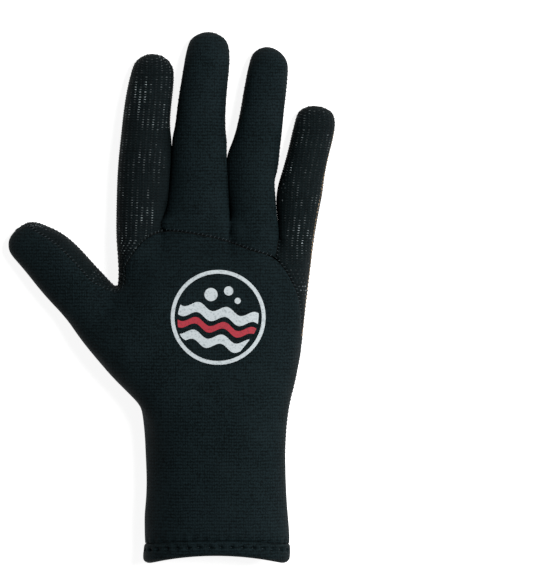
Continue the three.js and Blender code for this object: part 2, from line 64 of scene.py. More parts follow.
def add_node(tree, kind, inputs=None, **settings):
    made = tree.nodes.new(kind)
    for name, value in settings.items():
        setattr(made, name, value)
    for name, value in (inputs or {}).items():
        if isinstance(value, bpy.types.NodeSocket):
            tree.links.new(value, made.inputs[name])
        else:
            made.inputs[name].default_value = value
    return made


def new_material(name):
    material = bpy.data.materials.new(name)
    material.use_nodes = True
    tree = material.node_tree
    return material, tree, tree.nodes["Principled BSDF"]


def select_only(*pieces):
    bpy.ops.object.select_all(action="DESELECT")
    for piece in pieces:
        piece.select_set(True)
    bpy.context.view_layer.objects.active = pieces[-1]


def band_scale(length):
    """The scale at which a wave texture's bands repeat every length."""
    return math.tau / 20 / length


# Nylon jersey: a fine circular knit, matt and almost black. Its courses run across the glove.
# The real courses are 0.6 mm apart, and are drawn at 1.5 mm, because finer ones don't show.
course_pitch = 1.5 * mm
wale_pitch = 1.1 * mm


def jersey_material(name, dark, light, courses, wales, relief):
    material, tree, shader = new_material(name)
    place = add_node(tree, "ShaderNodeTexCoord").outputs["Object"]
    across = add_node(
        tree,
        "ShaderNodeTexWave",
        {"Vector": place, "Scale": band_scale(courses), "Distortion": 2.6, "Detail": 1.0,
         "Detail Scale": 0.5},
        bands_direction="Y",
    )
    along = add_node(
        tree,
        "ShaderNodeTexWave",
        {"Vector": place, "Scale": band_scale(wales), "Distortion": 1.2, "Detail": 1.0,
         "Detail Scale": 0.25},
        bands_direction="X",
    )
    loops = add_node(
        tree,
        "ShaderNodeMath",
        {0: across.outputs["Fac"], 1: along.outputs["Fac"]},
        operation="MULTIPLY",
    )
    knit = add_node(
        tree,
        "ShaderNodeMix",
        {"Factor": 0.7, "A": across.outputs["Fac"], "B": loops.outputs["Value"]},
    )
    handled = add_node(
        tree,
        "ShaderNodeTexNoise",
        {"Vector": place, "Scale": 1 / (14 * mm), "Detail": 4.0, "Roughness": 0.6},
    )
    fuzz = add_node(
        tree,
        "ShaderNodeTexNoise",
        {"Vector": place, "Scale": 1 / (0.8 * mm), "Detail": 2.0, "Roughness": 0.7},
    )
    patch = add_node(
        tree,
        "ShaderNodeMapRange",
        {"Value": handled.outputs["Fac"], "From Min": 0.35, "From Max": 0.68, "To Max": 0.55},
    )
    speck = add_node(
        tree,
        "ShaderNodeMapRange",
        {"Value": fuzz.outputs["Fac"], "From Min": 0.3, "From Max": 0.7, "To Min": -0.9,
         "To Max": 1.6},
    )
    lit = add_node(
        tree,
        "ShaderNodeMath",
        {0: knit.outputs["Result"], 1: 1.5, 2: patch.outputs["Result"]},
        operation="MULTIPLY_ADD",
    )
    specked = add_node(
        tree,
        "ShaderNodeMath",
        {0: lit.outputs["Value"], 1: speck.outputs["Result"]},
        operation="ADD",
    )
    half = add_node(
        tree, "ShaderNodeMath", {0: specked.outputs["Value"], 1: 0.5}, operation="MULTIPLY"
    )
    colour = add_node(
        tree,
        "ShaderNodeMix",
        {"Factor": half.outputs["Value"], "A": dark, "B": light},
        data_type="RGBA",
    )
    height = add_node(
        tree,
        "ShaderNodeMix",
        {"Factor": 0.3, "A": knit.outputs["Result"], "B": fuzz.outputs["Fac"]},
    )
    bump = add_node(
        tree,
        "ShaderNodeBump",
        {"Height": height.outputs["Result"], "Strength": 0.8, "Distance": relief},
    )
    gloss = add_node(
        tree,
        "ShaderNodeMapRange",
        {"Value": handled.outputs["Fac"], "To Min": 0.95, "To Max": 0.72},
    )
    tree.links.new(colour.outputs[2], shader.inputs["Base Color"])
    tree.links.new(bump.outputs["Normal"], shader.inputs["Normal"])
    tree.links.new(gloss.outputs["Result"], shader.inputs["Roughness"])
    shader.inputs["IOR"].default_value = 1.53
    shader.inputs["Specular IOR Level"].default_value = 0.06
    return material


jersey = jersey_material(
    "nylon jersey", linear("#030809"), linear("#111D20"), course_pitch, wale_pitch, 0.2 * mm
)
inner_jersey = jersey_material(
    "nylon lining jersey", linear("#0B1011"), linear("#171F21"), course_pitch, wale_pitch, 0.2 * mm
)

# Chloroprene foam where it was cut: dull, brown-black, with fine open cells.
foam, foam_tree, foam_shader = new_material("cut neoprene foam")
foam_place = add_node(foam_tree, "ShaderNodeTexCoord").outputs["Object"]
cells = add_node(
    foam_tree,
    "ShaderNodeTexVoronoi",
    {"Vector": foam_place, "Scale": 1 / (0.45 * mm)},
)
foam_colour = add_node(
    foam_tree,
    "ShaderNodeMix",
    {"Factor": cells.outputs["Distance"], "A": linear("#050707"), "B": linear("#0E1314")},
    data_type="RGBA",
)
foam_bump = add_node(
    foam_tree,
    "ShaderNodeBump",
    {"Height": cells.outputs["Distance"], "Strength": 0.7, "Distance": 0.15 * mm},
)
foam_tree.links.new(foam_colour.outputs[2], foam_shader.inputs["Base Color"])
foam_tree.links.new(foam_bump.outputs["Normal"], foam_shader.inputs["Normal"])
foam_shader.inputs["Roughness"].default_value = 0.92
foam_shader.inputs["Specular IOR Level"].default_value = 0.15


def faces_by_side(cloth):
    """Sorts the triangles of a closed cloth shell into outer face, cut edge and lining.
    Only those of the cut edge have a side exactly as long as the wall is thick."""
    kinds = {}
    for face in cloth.faces:
        across = [edge for edge in face.edges if abs(edge.calc_length() - wall) < 0.004 * mm]
        kinds[face] = cut_edge if across else None
    skins = []
    waiting = {face for face in cloth.faces if kinds[face] is None}
    while waiting:
        start = waiting.pop()
        skin, reach = [start], [start]
        while reach:
            for edge in reach.pop().edges:
                for near in edge.link_faces:
                    if near in waiting:
                        waiting.discard(near)
                        skin.append(near)
                        reach.append(near)
        skins.append(skin)
    skins.sort(key=lambda skin: -sum(face.calc_area() for face in skin))
    for rank, skin in enumerate(skins):
        for face in skin:
            kinds[face] = (outer_face, lining)[rank] if rank < 2 else outer_face
    return kinds


def cloth_piece(name, node, outer_cloth, levels=panel_levels):
    """A smooth copy of a cloth node: its triangles merged to quads and subdivided."""
    piece = bpy.data.objects.new(name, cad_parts[node].data.copy())
    bpy.context.scene.collection.objects.link(piece)
    piece.data.materials.clear()
    for material in (outer_cloth, foam, inner_jersey):
        piece.data.materials.append(material)
    cloth = bmesh.new()
    cloth.from_mesh(piece.data)
    bmesh.ops.remove_doubles(cloth, verts=cloth.verts, dist=0.005 * mm)
    kinds = faces_by_side(cloth)
    creases = cloth.edges.layers.float.new("crease_edge")
    borders = []
    for edge in cloth.edges:
        sides = {kinds[face] for face in edge.link_faces}
        if len(sides) == 2 and cut_edge in sides:
            edge[creases] = edge_crease if edge.verts[0].co.y > hem_line else hem_crease
            borders.append(edge)
    corners = cloth.verts.layers.float.new("crease_vert")
    bordering = set(borders)
    for corner in {vert for edge in borders for vert in edge.verts}:
        ends = [edge.other_vert(corner).co for edge in corner.link_edges if edge in bordering]
        if len(ends) == 2 and (ends[0] - corner.co).angle(corner.co - ends[1]) > corner_turn:
            corner[corners] = 1.0
    for face in cloth.faces:
        face.material_index = kinds[face]
        face.smooth = True
    cloth.to_mesh(piece.data)
    cloth.free()
    select_only(piece)
    bpy.ops.object.mode_set(mode="EDIT")
    bpy.ops.mesh.select_all(action="SELECT")
    bpy.ops.mesh.customdata_custom_splitnormals_clear()
    bpy.ops.mesh.tris_convert_to_quads(
        face_threshold=math.pi, shape_threshold=math.pi, topology_influence=1.0, materials=True
    )
    bpy.ops.object.mode_set(mode="OBJECT")
    smooth = piece.modifiers.new("rounding", "SUBSURF")
    smooth.levels = levels
    smooth.render_levels = levels
    bpy.ops.object.modifier_apply(modifier=smooth.name)
    return piece


def side_normals(mesh, side):
    """The direction out of every vertex from the faces of one side alone."""
    normals = np.zeros((len(mesh.vertices), 3))
    for polygon in mesh.polygons:
        if polygon.material_index == side:
            for k in polygon.vertices:
                normals[k] += np.array(polygon.normal) * polygon.area
    length = np.linalg.norm(normals, axis=1, keepdims=True)
    return normals / np.maximum(length, 1e-12)


def seam_border(mesh):
    """Vertices on the line where the outer face meets the cut edge."""
    outside, edge = set(), set()
    for polygon in mesh.polygons:
        if polygon.material_index == outer_face:
            outside.update(polygon.vertices)
        if polygon.material_index == cut_edge:
            edge.update(polygon.vertices)
    return sorted(outside & edge)


def tree_of(places):
    tree = KDTree(len(places))
    for k, place in enumerate(places):
        tree.insert(place, k)
    tree.balance()
    return tree


seam_depth = 0.3 * mm  # how far the sewn edges sink below the cloth beside them
seam_reach = 4.5 * mm  # how far from a seam the cloth bends down to it
seam_close = 0.11 * mm  # each edge is glued up to its neighbour
pucker_length = 6.0 * mm  # between two puckers along a seam
unevenness = 0.35 * mm  # soft bumps and hollows of foam that was packed flat
uneven_length = 17.0 * mm

# Lines (y, x) in millimetres along which two neighbouring fingers press on each other
finger_contacts = [
    [(33.7, -4.6), (41.5, -1.7), (56, -0.6), (70.5, 0.3)],
    [(30.7, 26.9), (48, 26.2), (64.5, 25.3)],
    [(29.1, 49.2), (37.4, 48.3), (50, 47.2)],
]
contact_gap = 0.012 * mm
contact_push = 1.5 * mm
contact_width = 3.2 * mm
contact_fade = 7 * mm
fold_depths = [2.2 * mm, 3.0 * mm, 2.8 * mm]  # of the creases that run on below the contacts
fold_width = 1.7 * mm
fold_fade = 9 * mm


def press_fingers(place):
    """Swells the side of a finger until it touches the finger beside it, and folds the cloth
    in where the two come together on the back of the hand."""
    for line, deep in zip(finger_contacts, fold_depths):
        low, high = line[0][0] * mm, line[-1][0] * mm
        past = max(low - place.y, place.y - high, 0.0)
        middle = float(np.interp(place.y / mm, [p[0] for p in line], [p[1] for p in line])) * mm
        away = place.x - middle
        push = contact_push * math.exp(-((away / contact_width) ** 2) - (past / contact_fade) ** 2)
        if push > 0.02 * mm and place.y > low - 3 * mm:
            moved = max(min(contact_gap, abs(away)), abs(away) - push)
            place.x = middle + math.copysign(moved, away)
        if place.z > 12 * mm:
            below = (place.y - low) / fold_fade
            place.z -= deep * math.exp(-((away / fold_width) ** 2) - below ** 2)


# The thumb leaves the hand at 43.6 degrees
thumb_turn = math.radians(43.6)
thumb_ahead = Vector((-math.sin(thumb_turn), math.cos(thumb_turn), 0))
thumb_side = Vector((math.cos(thumb_turn), math.sin(thumb_turn), 0))
thumb_root = Vector((-31.2, -8.6, 11.5)) * mm
thumb_flatness = 14 / 11.5  # its half width over its half height
thumb_free = (5 * mm, 17 * mm)  # from its root, where it comes free of the hand
thumb_core = (0.5 * mm, 6 * mm)  # from its axis, where its tip stays as it is
thumb_skin = (15.5 * mm, 19 * mm)  # from its axis, where the cloth of the hand begins
seam_side = math.radians(28)  # where its seam lies, up from the side that faces the index
seam_shift = math.radians(13)  # how far the cloth slides, to bring that seam up into view


def smooth_step(value, low, high):
    t = min(1.0, max(0.0, (value - low) / (high - low)))
    return t * t * (3 - 2 * t)


def slide_thumb_cloth(place):
    """Slides the cloth round the thumb, so that its seam lies on top as it does when worn."""
    from_root = place - thumb_root
    along = from_root.dot(thumb_ahead)
    across, high = from_root.dot(thumb_side), from_root.z * thumb_flatness
    radius, angle = math.hypot(across, high), math.atan2(high, across)
    free = smooth_step(along, *thumb_free) * smooth_step(radius, *thumb_core)
    free *= 1 - smooth_step(radius, *thumb_skin)
    if free > 0:
        angle += seam_shift * free * (1 + math.cos(angle - seam_side)) / 2
        moved = thumb_ahead * along + thumb_side * (radius * math.cos(angle))
        moved.z = radius * math.sin(angle) / thumb_flatness
        place.xyz = thumb_root + moved


def draw_in_at_seams(piece):
    """Bends the cloth down to its sewn edges and gives its faces a hand-made unevenness."""
    mesh = piece.data
    for vertex in mesh.vertices:
        slide_thumb_cloth(vertex.co)
    mesh.update()
    border = seam_border(mesh)
    out_of_face = side_normals(mesh, outer_face)
    out_of_edge = side_normals(mesh, cut_edge)
    tree = tree_of([mesh.vertices[k].co for k in border])
    lined = set()
    for polygon in mesh.polygons:
        if polygon.material_index == lining:
            lined.update(polygon.vertices)
    for vertex in mesh.vertices:
        if vertex.index in lined:
            continue
        _, near, far = tree.find(vertex.co)
        out = Vector(out_of_face[vertex.index])
        if out.length < 0.5:
            out = Vector(out_of_face[border[near]])
        fall = max(0.0, 1 - far / seam_reach)
        pucker = 0.75 + 0.25 * noise.noise(vertex.co / pucker_length)
        soft = noise.noise(vertex.co / uneven_length) * min(1.0, vertex.co.z / (4 * mm))
        sink = seam_depth if vertex.co.y > hem_line else 0.2 * seam_depth
        move = soft * unevenness - sink * pucker * fall * fall
        vertex.co += out * move + Vector(out_of_edge[vertex.index]) * seam_close
        press_fingers(vertex.co)
        vertex.co.z = max(vertex.co.z, 0.0)


back = cloth_piece("back_panel_cloth", "back_panel", jersey)
draw_in_at_seams(back)
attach(back, "root")
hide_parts("back_panel")


# Finger back panel
# The backs of the middle and ring fingers in one piece of the same smooth neoprene, from the
# knuckle seam to the fingertips, with its sides sewn to the grip cloth along the fingers.

fingers = cloth_piece("finger_back_cloth", "finger_back_panel", jersey)
draw_in_at_seams(fingers)
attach(fingers, "root")
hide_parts("finger_back_panel")


# Palm panel
# The grip cloth: neoprene with a coarser black jersey that carries thousands of moulded dots.
# It is the palm, the whole index and little fingers, and the strip up the little finger's side.

# Grip jersey: a coarser knit under the dots, a shade lighter than the smooth cloth.
grip_jersey = jersey_material(
    "dotted grip jersey", linear("#04090A"), linear("#0D1618"), 1.35 * mm, 1.35 * mm, 0.24 * mm
)
palm = cloth_piece("palm_panel_cloth", "palm_panel", grip_jersey)
draw_in_at_seams(palm)
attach(palm, "root")
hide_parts("palm_panel")


# Cuff hem
# The end of the cuff, folded in on itself and held by two rows of stitches.

hem_levels = 3
hem_close = 0.7 * mm  # the hem laps over the end of the back panel


def hem_piece(name, node):
    piece = bpy.data.objects.new(name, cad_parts[node].data.copy())
    bpy.context.scene.collection.objects.link(piece)
    piece.data.materials.clear()
    select_only(piece)
    bpy.ops.object.mode_set(mode="EDIT")
    bpy.ops.mesh.select_all(action="SELECT")
    bpy.ops.mesh.customdata_custom_splitnormals_clear()
    bpy.ops.mesh.remove_doubles(threshold=0.005 * mm)
    bpy.ops.mesh.tris_convert_to_quads(
        face_threshold=math.pi, shape_threshold=math.pi, topology_influence=1.0
    )
    bpy.ops.object.mode_set(mode="OBJECT")
    smooth = piece.modifiers.new("rounding", "SUBSURF")
    smooth.levels = hem_levels
    smooth.render_levels = hem_levels
    bpy.ops.object.modifier_apply(modifier=smooth.name)
    bpy.ops.object.shade_smooth()
    return piece


hem = hem_piece("cuff_hem_cloth", "cuff_hem")
hem.data.materials.append(jersey)
joint = tree_of([back.data.vertices[k].co for k in seam_border(back.data)])
for vertex in hem.data.vertices:
    _, _, far = joint.find(vertex.co)
    vertex.co.y += hem_close * max(0.0, 1 - far / (2 * mm))
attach(hem, "root")
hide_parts("cuff_hem")


# Grip dots
# Small dashes of clear-coated black PVC, moulded onto the grip cloth in columns along each finger
# and up the palm, each row set half a column aside from the next but on the index and little
# fingers.


def dot_template(sides, rise):
    """A low button one unit across, made by extruding a disc twice."""
    bpy.ops.object.select_all(action="DESELECT")
    bpy.ops.mesh.primitive_circle_add(vertices=sides, radius=0.5, fill_type="NGON")
    bpy.ops.object.mode_set(mode="EDIT")
    bpy.ops.mesh.select_all(action="SELECT")
    lift = {"value": (0, 0, 0.62 * rise)}
    bpy.ops.mesh.extrude_region_move(TRANSFORM_OT_translate=lift)
    bpy.ops.transform.resize(value=(0.86, 0.86, 1))
    lift = {"value": (0, 0, 0.38 * rise)}
    bpy.ops.mesh.extrude_region_move(TRANSFORM_OT_translate=lift)
    bpy.ops.transform.resize(value=(0.55, 0.55, 1))
    bpy.ops.object.mode_set(mode="OBJECT")
    button = bpy.context.active_object
    return button


run_across, run_along = 1.9 * mm, 8.0 * mm  # painted glints on the dots, and the tan stitches' tone, come in short runs up a column


def copies(name, template, places, material):
    """One mesh of a template's copies, each at a place with its long side, its up and a size."""
    points = np.array([vertex.co for vertex in template.data.vertices])
    faces = [tuple(polygon.vertices) for polygon in template.data.polygons]
    all_points, all_faces, glint_and_tone = [], [], []
    for n, (place, long_side, up, size) in enumerate(places):
        up = up.normalized()
        long_side = (long_side - up * long_side.dot(up)).normalized()
        short_side = up.cross(long_side)
        axes = np.array([long_side, short_side, up]) * np.array(size)[:, None]
        all_points.append(points @ axes + np.array(place))
        all_faces += [tuple(k + n * len(points) for k in face) for face in faces]
        # Each copy gets one value: on the dots it sets a painted glint, on the tan stitches a
        # lighter or darker tone.
        run = Vector((place.x / run_across, place.y / run_along, place.z / run_along))
        glint_and_tone_level = 0.47 + 0.8 * noise.noise(run) + 0.3 * noise.cell(place / (0.7 * mm))
        glint_and_tone += [min(1.0, max(0.0, glint_and_tone_level))] * len(points)
    mesh = bpy.data.meshes.new(name)
    mesh.from_pydata(np.concatenate(all_points).tolist(), [], all_faces)
    mesh.attributes.new("glint_and_tone", "FLOAT", "POINT").data.foreach_set("value", glint_and_tone)
    mesh.materials.append(material)
    piece = bpy.data.objects.new(name, mesh)
    bpy.context.scene.collection.objects.link(piece)
    select_only(piece)
    bpy.ops.object.shade_smooth_by_angle(angle=math.radians(40))
    return piece


# PVC: semi-gloss charcoal. Each dot's colour is lightened by a painted glint of its own, dimmed over
# whole patches; the same value makes those dots glossier.
dot_pvc, dot_tree, dot_shader = new_material("moulded PVC")
glint_and_tone = add_node(dot_tree, "ShaderNodeAttribute", attribute_name="glint_and_tone").outputs["Fac"]
dot_place = add_node(dot_tree, "ShaderNodeTexCoord").outputs["Object"]
patches = add_node(
    dot_tree,
    "ShaderNodeTexNoise",
    {"Vector": dot_place, "Scale": 1 / (11 * mm), "Detail": 2.0, "Roughness": 0.55},
)
glint_patches = add_node(
    dot_tree,
    "ShaderNodeMapRange",
    {"Value": patches.outputs["Fac"], "From Min": 0.44, "From Max": 0.7, "To Min": 0.06},
)
chance = add_node(dot_tree, "ShaderNodeMath", {0: glint_and_tone, 1: 2.6}, operation="POWER")
bright = add_node(
    dot_tree,
    "ShaderNodeMath",
    {0: chance.outputs["Value"], 1: glint_patches.outputs["Result"]},
    operation="MULTIPLY",
)
# Painted highlight: the glinting dots are coloured pale grey.
dot_colour = add_node(
    dot_tree,
    "ShaderNodeMix",
    {"Factor": bright.outputs["Value"], "A": linear("#0E1517"), "B": linear("#A3AFB2")},
    data_type="RGBA",
)
dot_gloss = add_node(
    dot_tree,
    "ShaderNodeMapRange",
    {"Value": bright.outputs["Value"], "To Min": 0.72, "To Max": 0.3},
)
dot_tree.links.new(dot_colour.outputs[2], dot_shader.inputs["Base Color"])
dot_tree.links.new(dot_gloss.outputs["Result"], dot_shader.inputs["Roughness"])
dot_shader.inputs["IOR"].default_value = 1.53
dot_shader.inputs["Specular IOR Level"].default_value = 0.12

palm_mesh = palm.data
palm_skin = BVHTree.FromPolygons(
    [vertex.co for vertex in palm_mesh.vertices],
    [p.vertices for p in palm_mesh.polygons if p.material_index == outer_face],
)
palm_edge = tree_of([palm_mesh.vertices[k].co for k in seam_border(palm_mesh)])
up = Vector((0, 0, 1))
rays = 300  # round one section of a finger or the hand
clear_of_seam = 0.7 * mm
clear_of_dot = 1.0 * mm
dot_rise = 0.26 * mm
dot_sink = 0.06 * mm
crease_clear = 2.9 * mm


def along_line(points, y):
    """The place on a line of (y, x, z) points at a given y, in millimetres."""
    ys = [p[0] for p in points]
    return Vector([
        float(np.interp(y, ys, [p[1] for p in points])),
        y,
        float(np.interp(y, ys, [p[2] for p in points])),
    ]) * mm


def rows_of_dots(sections, side, first, column_pitch, size, reach, stagger):
    """Walks round the grip cloth on each section and drops a dot at every column."""
    found = []
    step = math.tau / rays
    for row, (centre, tilt) in enumerate(sections):
        shift = stagger * (row % 2)
        for turn in (1, -1):
            ahead = column_pitch * (shift if turn > 0 else 1 - shift)
            walked, last = 0.0, None
            for k in range(rays // 2 + 1):
                angle = first + turn * step * k
                ray = side * math.cos(angle) + up * math.sin(angle) + tilt
                place, normal, _, far = palm_skin.ray_cast(centre, ray.normalized())
                if place is None or far > reach:
                    if last is None:
                        continue
                    break
                if last is not None and (place - last).length > 0.14 * reach:
                    break
                if last is not None:
                    span = (place - last).length
                    while walked + span >= ahead and span > 0:
                        spot = last.lerp(place, (ahead - walked) / span)
                        found.append((spot, place - last, normal, size))
                        ahead += column_pitch
                    walked += span
                elif ahead == 0.0:
                    ahead = 1e-9
                last = place
    return found


def in_crease(spot):
    """True between two fingers that press on each other, where the dots are out of sight."""
    for line in finger_contacts:
        middle = float(np.interp(spot.y / mm, [p[0] for p in line], [p[1] for p in line])) * mm
        low, high = (line[0][0] - 6) * mm, (line[-1][0] + 6) * mm
        if low < spot.y < high and abs(spot.x - middle) < crease_clear:
            return True
    return False


def kept_dots(found, taken, inside):
    """Leaves out dots on a seam, off their part of the glove, or on top of other dots."""
    kept = []
    old = tree_of(taken) if taken else None
    for spot, long_side, normal, size in found:
        if not inside(spot) or palm_edge.find(spot)[2] < clear_of_seam or in_crease(spot):
            continue
        if old is not None and old.find(spot)[2] < 1.6 * mm:
            continue
        kept.append((spot - normal * dot_sink, long_side, normal, size))
    taken.extend(spot for spot, _, _, _ in kept)
    return kept


# (y, x, z) of the middle of each finger, from its web to its tip
finger_lines = {
    "index": [(24, -13.8, 12.5), (60, -12.4, 12), (90, -9.6, 10), (110, -8.4, 9)],
    "middle": [(24, 12.6, 13), (75, 14.2, 12.5), (110, 17.2, 9.5), (122, 17.6, 9)],
    "ring": [(24, 37, 12.8), (66, 39.4, 12), (100, 43, 9.5), (115, 43.6, 9)],
    "little": [(24, 57.4, 12), (55, 60.8, 11.5), (76, 65.2, 9), (86, 66.4, 8.5)],
}
web_line = 29.0
hand_rows = 14.0  # how far below the webs the rows of the index and little fingers begin
tip_length = 9.0  # of the rounded end of a finger
tip_turns = (8, 16, 25, 34, 44, 55, 67)  # degrees ahead at which the rows cross it
wide_dash = (1.15 * mm, 0.45 * mm, dot_rise)
round_dot = (1.1 * mm, 0.75 * mm, dot_rise)
dash_rows, dash_columns = 1.15, 2.4
palm_rows, palm_columns = 1.85, 2.3
finger_reach, thumb_reach, palm_reach = 18 * mm, 22 * mm, 70 * mm  # of the rays
strip_height = 16 * mm  # a finger's strip of the hand's back lies above this
strip_half = 16 * mm  # half as wide as that strip
upward, downward = math.pi / 2, -math.pi / 2
right = Vector((1, 0, 0))
ahead = Vector((0, 1, 0))
level = Vector((0, 0, 0))
button = dot_template(6, 1.0)
taken = []
dot_pieces = []


def over_tip(tip, forward):
    """Sections that fan out ahead from one point and carry the rows over a rounded end."""
    return [(tip, forward * math.tan(math.radians(turn))) for turn in tip_turns]


def on_finger(spot, middle, wrapped):
    """True on a finger. A finger all in grip cloth has a strip of the hand's back as well."""
    on_strip = spot.z > strip_height and abs(spot.x - middle) < strip_half
    return spot.y > web_line * mm or (wrapped and on_strip)


for name, line in finger_lines.items():
    wrapped = name in ("index", "little")
    if wrapped:
        first, pitch, columns, size, stagger = upward, dash_rows, dash_columns, wide_dash, 0.0
    else:
        first, pitch, columns, size, stagger = downward, palm_rows, palm_columns, round_dot, 0.5
    last_row = line[-1][0] - tip_length
    stations = np.arange(web_line - (hand_rows if wrapped else 0), last_row, pitch)
    sections = [(along_line(line, y), level) for y in stations]
    sections += over_tip(along_line(line, last_row), ahead)
    found = rows_of_dots(sections, right, first, columns * mm, size, finger_reach, stagger)
    middle = line[0][1] * mm
    kept = kept_dots(found, taken, lambda spot: on_finger(spot, middle, wrapped))
    dot_pieces.append(copies("grip_dots_" + name, button, kept, dot_pvc))

thumb_first, thumb_last = 2.0, 49.0  # in millimetres from its root
bare_above, bare_beyond = 3 * mm, 17 * mm  # from its root, where the strip on top is bare
thumb_rows = np.arange(thumb_first, thumb_last, palm_rows)
sections = [(thumb_root + thumb_ahead * t * mm, level) for t in thumb_rows]
sections += over_tip(sections[-1][0], thumb_ahead)
found = rows_of_dots(
    sections, thumb_side, downward, palm_columns * mm, round_dot, thumb_reach, 0.5
)


def grips_thumb(spot):
    """The strip that the seam leaves on top of the thumb is bare, except next to the web."""
    from_root = spot - thumb_root
    bare = from_root.z > bare_above and from_root.dot(thumb_ahead) > bare_beyond
    return abs(from_root.dot(thumb_side)) < thumb_reach and not bare


kept = kept_dots(found, taken, grips_thumb)
dot_pieces.append(copies("grip_dots_thumb", button, kept, dot_pvc))

palm_line = [(-76, 18, 15), (-40, 18, 15), (0, 14, 14), (31, 14, 12)]
palm_first = -75.0  # just above the curved seam at the wrist
palm_stations = np.arange(palm_first, web_line, palm_rows)
sections = [(along_line(palm_line, y), level) for y in palm_stations]
found = rows_of_dots(sections, right, downward, palm_columns * mm, round_dot, palm_reach, 0.5)
kept = kept_dots(found, taken, lambda spot: spot.y < web_line * mm)
dot_pieces.append(copies("grip_dots_palm", button, kept, dot_pvc))
for piece in dot_pieces:
    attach(piece, "root")
bpy.data.objects.remove(button)


# Seam stitches
# Black polyester thread that holds the glued edges together: one short slanted stitch after
# another over every seam, each sunk a little into the foam.

stitch_pitch = 1.9 * mm
stitch_size = (1.35 * mm, 0.28 * mm, 0.26 * mm)
stitch_slant = math.radians(28)
stitch_rise = 0.02 * mm
thread_lowest = 0.3 * mm  # the thread under the glove keeps clear of the floor
shortest_loop = 20  # vertices
longest_span = 4 * mm  # between two vertices of a loop; the ends of an open one lie further off
stitched_once = 1.2 * mm  # the finger backs are stitched only this far from the palm's seams

# Polyester thread: spun and dull. Its lighter plies are partly its own grey and partly a painted
# highlight on thread that lies proud of the cloth.
thread, thread_tree, thread_shader = new_material("spun polyester thread")
thread_place = add_node(thread_tree, "ShaderNodeTexCoord").outputs["Object"]
plies = add_node(
    thread_tree,
    "ShaderNodeTexNoise",
    {"Vector": thread_place, "Scale": 1 / (0.3 * mm), "Detail": 2.0},
)
thread_colour = add_node(
    thread_tree,
    "ShaderNodeMix",
    {"Factor": plies.outputs["Fac"], "A": linear("#0B0F10"), "B": linear("#39454A")},
    data_type="RGBA",
)
thread_tree.links.new(thread_colour.outputs[2], thread_shader.inputs["Base Color"])
thread_shader.inputs["Roughness"].default_value = 0.7
thread_shader.inputs["Specular IOR Level"].default_value = 0.3


def stitch_template():
    """A short length of thread that dives at both ends, made from a squashed ball."""
    bpy.ops.object.select_all(action="DESELECT")
    bpy.ops.mesh.primitive_uv_sphere_add(segments=8, ring_count=6, radius=0.5)
    bpy.ops.object.mode_set(mode="EDIT")
    bpy.ops.mesh.select_all(action="SELECT")
    bpy.ops.transform.rotate(value=math.pi / 2, orient_axis="Y", center_override=(0, 0, 0))
    bpy.ops.object.mode_set(mode="OBJECT")
    return bpy.context.active_object


def seam_loops(mesh):
    """The lines where the outer face meets the cut edge, as ordered lists of vertices."""
    sides = {}
    for polygon in mesh.polygons:
        for key in polygon.edge_keys:
            sides.setdefault(key, set()).add(polygon.material_index)
    beside = {}
    for (a, b), kinds in sides.items():
        if kinds == {outer_face, cut_edge}:
            beside.setdefault(a, []).append(b)
            beside.setdefault(b, []).append(a)
    loops = []
    unseen = set(beside)
    while unseen:
        loop = [min(unseen)]
        unseen.discard(loop[0])
        while True:
            onward = [k for k in sorted(beside[loop[-1]]) if k in unseen]
            if not onward:
                break
            loop.append(onward[0])
            unseen.discard(onward[0])
        if len(loop) > shortest_loop:
            loops.append(loop)
    return loops


def spaced_along(mesh, loop, pitch, wanted):
    """Places a pitch apart on a loop, with the way the loop runs and the way out of the cloth."""
    normals = side_normals(mesh, outer_face)
    places = [mesh.vertices[k].co.copy() for k in loop]
    spots = []
    walked, ahead_by = 0.0, 0.5 * pitch
    for k in range(len(loop)):
        here, there = places[k], places[(k + 1) % len(loop)]
        span = (there - here).length
        if span > longest_span:
            continue
        while walked + span >= ahead_by:
            spot = here.lerp(there, (ahead_by - walked) / span)
            if wanted(spot):
                spots.append((spot, (there - here).normalized(), Vector(normals[loop[k]])))
            ahead_by += pitch
        walked += span
    return spots


grain = stitch_template()
stitches = []
for loop in seam_loops(palm.data):
    stitches += spaced_along(palm.data, loop, stitch_pitch, lambda spot: True)
for loop in seam_loops(fingers.data):
    stitches += spaced_along(
        fingers.data, loop, stitch_pitch, lambda spot: palm_edge.find(spot)[2] > stitched_once
    )
sewn = []
for spot, run, out in stitches:
    across = out.cross(run).normalized()
    long_side = across * math.cos(stitch_slant) + run * math.sin(stitch_slant)
    place = spot + out * stitch_rise
    place.z = max(place.z, thread_lowest)
    sewn.append((place, long_side, out, stitch_size))
seam_thread = copies("seam_thread", grain, sewn, thread)
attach(seam_thread, "root")


# Hem stitches
# Two rows of machine stitches hold the folded hem. Each stitch pulls the foam in, so that the
# rows read as dimples, those of the lower row halfway between those of the upper one.

hem_pitch = 5.0 * mm
hem_row_gap = 3.0 * mm
upper_row_rise = 0.7 * mm  # the upper row lies just above the joint
from_outside = 0.5 * mm  # the lower row is looked for from just outside the hem
dimple_depth = 1.7 * mm
dimple_long = 1.15 * mm
dimple_wide = 0.75 * mm
dimple_reach = 2.6 * dimple_long
stitch_down = 0.97 * dimple_depth  # the thread lies at the bottom of its dimple
hem_stitch_size = (1.8 * mm, 0.36 * mm, 0.3 * mm)


def dimple(piece, spots):
    """Presses an oval dimple into a piece at every spot."""
    mesh = piece.data
    tree = tree_of([vertex.co for vertex in mesh.vertices])
    moves = {}
    for spot, run, out in spots:
        for place, k, _ in tree.find_range(spot, dimple_reach):
            offset = place - spot
            along = offset.dot(run) / dimple_long
            beside = (offset - run * offset.dot(run)).length / dimple_wide
            deep = dimple_depth * math.exp(-(along ** 2) - beside ** 2)
            moves[k] = moves.get(k, Vector()) - out * deep
    for k, move in moves.items():
        mesh.vertices[k].co += move


